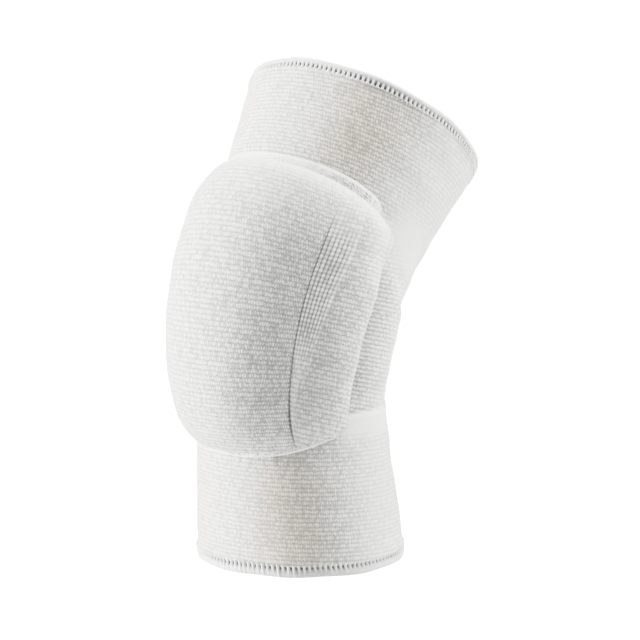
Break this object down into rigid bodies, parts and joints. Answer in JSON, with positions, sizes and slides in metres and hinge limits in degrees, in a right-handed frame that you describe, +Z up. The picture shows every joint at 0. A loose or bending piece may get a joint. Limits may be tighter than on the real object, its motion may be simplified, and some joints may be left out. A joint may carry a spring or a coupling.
{
  "type": "volleyball knee pad",
  "caption": "Pull-on knitted knee sleeve bent as it is worn, with a thick foam pad over the kneecap, a thinner pad on each side, open-knit gussets and overlocked hems.",
  "frame": {"origin": "the middle of the knee, inside the sleeve, where the leg holds the pad", "axes": "+Z up, along the lower leg towards the thigh; -Y to the front of the knee; +X to the right as seen from the front"},
  "size_m": [0.1216, 0.1746, 0.2466],
  "materials": {
    "knit": "matte ribbed elastic knit",
    "pad_cover": "matte fine knit over foam",
    "open_knit": "matte open mesh knit",
    "stitching": "matte overlock thread"
  },
  "bodies": {
    "root": {"calf_cuff": "knit", "knee_sleeve": "knit", "thigh_cuff": "knit", "calf_hem": "stitching", "thigh_hem": "stitching", "calf_seam": "stitching", "thigh_seam": "stitching", "front_pad": "pad_cover", "mesh_gusset_right": "open_knit", "side_pad_right": "pad_cover", "mesh_gusset_left": "open_knit", "side_pad_left": "pad_cover"}
  },
  "joints": []
}
